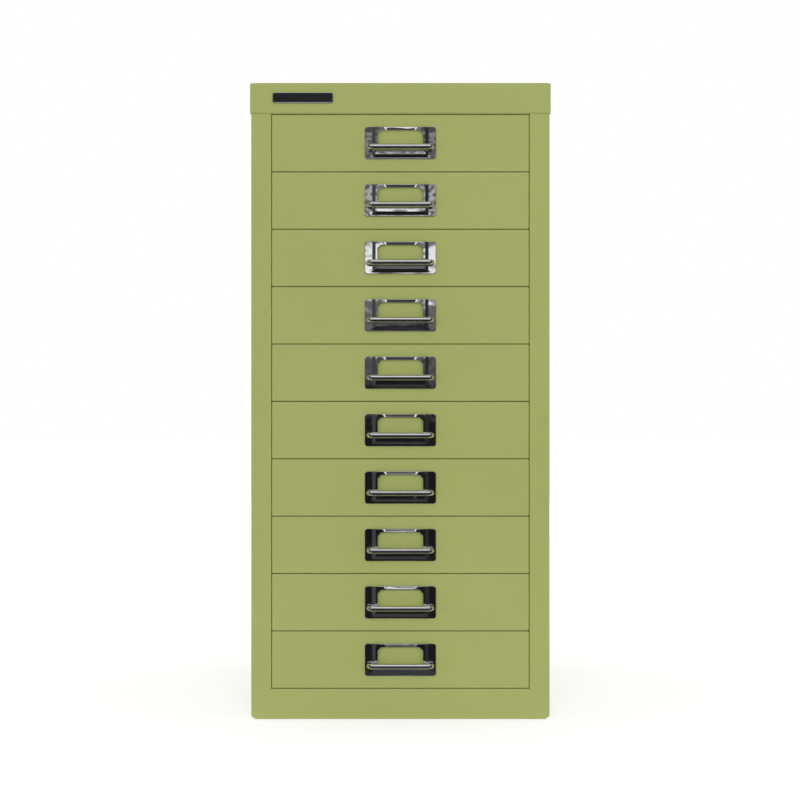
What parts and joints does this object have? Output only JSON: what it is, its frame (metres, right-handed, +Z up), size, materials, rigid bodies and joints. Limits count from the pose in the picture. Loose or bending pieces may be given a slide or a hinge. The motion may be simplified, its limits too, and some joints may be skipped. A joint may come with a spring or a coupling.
{
  "type": "multi-drawer cabinet",
  "caption": "Narrow free-standing steel cabinet with a stack of equal shallow drawers that slide out on runners, each with a label-holder pull.",
  "frame": {"origin": "on the floor, at the centre of the footprint with the pull bars included", "axes": "+Z up, +X to the right of someone facing the drawers, drawer fronts face -Y"},
  "size_m": [0.279, 0.394, 0.59],
  "materials": {
    "green_paint": "satin stove enamel, yellow-green",
    "chrome": "bright chrome plate",
    "zinc": "bright zinc plate",
    "feet_plastic": "moulded black plastic",
    "badge": "satin, blank"
  },
  "bodies": {
    "casing": {"side_panel_left": "green_paint", "side_panel_right": "green_paint", "top_cap": "green_paint", "back_panel": "green_paint", "base_pan": "green_paint", "top_rail": "green_paint", "runners_left": "green_paint", "runners_right": "green_paint", "feet": "feet_plastic", "badge_plate": "badge"},
    "drawer_01": {"drawer_01_tray": "green_paint", "drawer_01_front": "green_paint", "drawer_01_handle_plate": "chrome", "drawer_01_pull_bar": "chrome", "drawer_01_pull_fixings": "zinc"},
    "drawer_02": {"drawer_02_tray": "green_paint", "drawer_02_front": "green_paint", "drawer_02_handle_plate": "chrome", "drawer_02_pull_bar": "chrome", "drawer_02_pull_fixings": "zinc"},
    "drawer_03": {"drawer_03_tray": "green_paint", "drawer_03_front": "green_paint", "drawer_03_handle_plate": "chrome", "drawer_03_pull_bar": "chrome", "drawer_03_pull_fixings": "zinc"},
    "drawer_04": {"drawer_04_tray": "green_paint", "drawer_04_front": "green_paint", "drawer_04_handle_plate": "chrome", "drawer_04_pull_bar": "chrome", "drawer_04_pull_fixings": "zinc"},
    "drawer_05": {"drawer_05_tray": "green_paint", "drawer_05_front": "green_paint", "drawer_05_handle_plate": "chrome", "drawer_05_pull_bar": "chrome", "drawer_05_pull_fixings": "zinc"},
    "drawer_06": {"drawer_06_tray": "green_paint", "drawer_06_front": "green_paint", "drawer_06_handle_plate": "chrome", "drawer_06_pull_bar": "chrome", "drawer_06_pull_fixings": "zinc"},
    "drawer_07": {"drawer_07_tray": "green_paint", "drawer_07_front": "green_paint", "drawer_07_handle_plate": "chrome", "drawer_07_pull_bar": "chrome", "drawer_07_pull_fixings": "zinc"},
    "drawer_08": {"drawer_08_tray": "green_paint", "drawer_08_front": "green_paint", "drawer_08_handle_plate": "chrome", "drawer_08_pull_bar": "chrome", "drawer_08_pull_fixings": "zinc"},
    "drawer_09": {"drawer_09_tray": "green_paint", "drawer_09_front": "green_paint", "drawer_09_handle_plate": "chrome", "drawer_09_pull_bar": "chrome", "drawer_09_pull_fixings": "zinc"},
    "drawer_10": {"drawer_10_tray": "green_paint", "drawer_10_front": "green_paint", "drawer_10_handle_plate": "chrome", "drawer_10_pull_bar": "chrome", "drawer_10_pull_fixings": "zinc"}
  },
  "joints": [
    {"name": "drawer_01_slide", "type": "slide", "parent": "casing", "child": "drawer_01", "axis": [0, -1, 0], "range_m": [0, 0.29]},
    {"name": "drawer_02_slide", "type": "slide", "parent": "casing", "child": "drawer_02", "axis": [0, -1, 0], "range_m": [0, 0.29]},
    {"name": "drawer_03_slide", "type": "slide", "parent": "casing", "child": "drawer_03", "axis": [0, -1, 0], "range_m": [0, 0.29]},
    {"name": "drawer_04_slide", "type": "slide", "parent": "casing", "child": "drawer_04", "axis": [0, -1, 0], "range_m": [0, 0.29]},
    {"name": "drawer_05_slide", "type": "slide", "parent": "casing", "child": "drawer_05", "axis": [0, -1, 0], "range_m": [0, 0.29]},
    {"name": "drawer_06_slide", "type": "slide", "parent": "casing", "child": "drawer_06", "axis": [0, -1, 0], "range_m": [0, 0.29]},
    {"name": "drawer_07_slide", "type": "slide", "parent": "casing", "child": "drawer_07", "axis": [0, -1, 0], "range_m": [0, 0.29]},
    {"name": "drawer_08_slide", "type": "slide", "parent": "casing", "child": "drawer_08", "axis": [0, -1, 0], "range_m": [0, 0.29]},
    {"name": "drawer_09_slide", "type": "slide", "parent": "casing", "child": "drawer_09", "axis": [0, -1, 0], "range_m": [0, 0.29]},
    {"name": "drawer_10_slide", "type": "slide", "parent": "casing", "child": "drawer_10", "axis": [0, -1, 0], "range_m": [0, 0.29]}
  ]
}
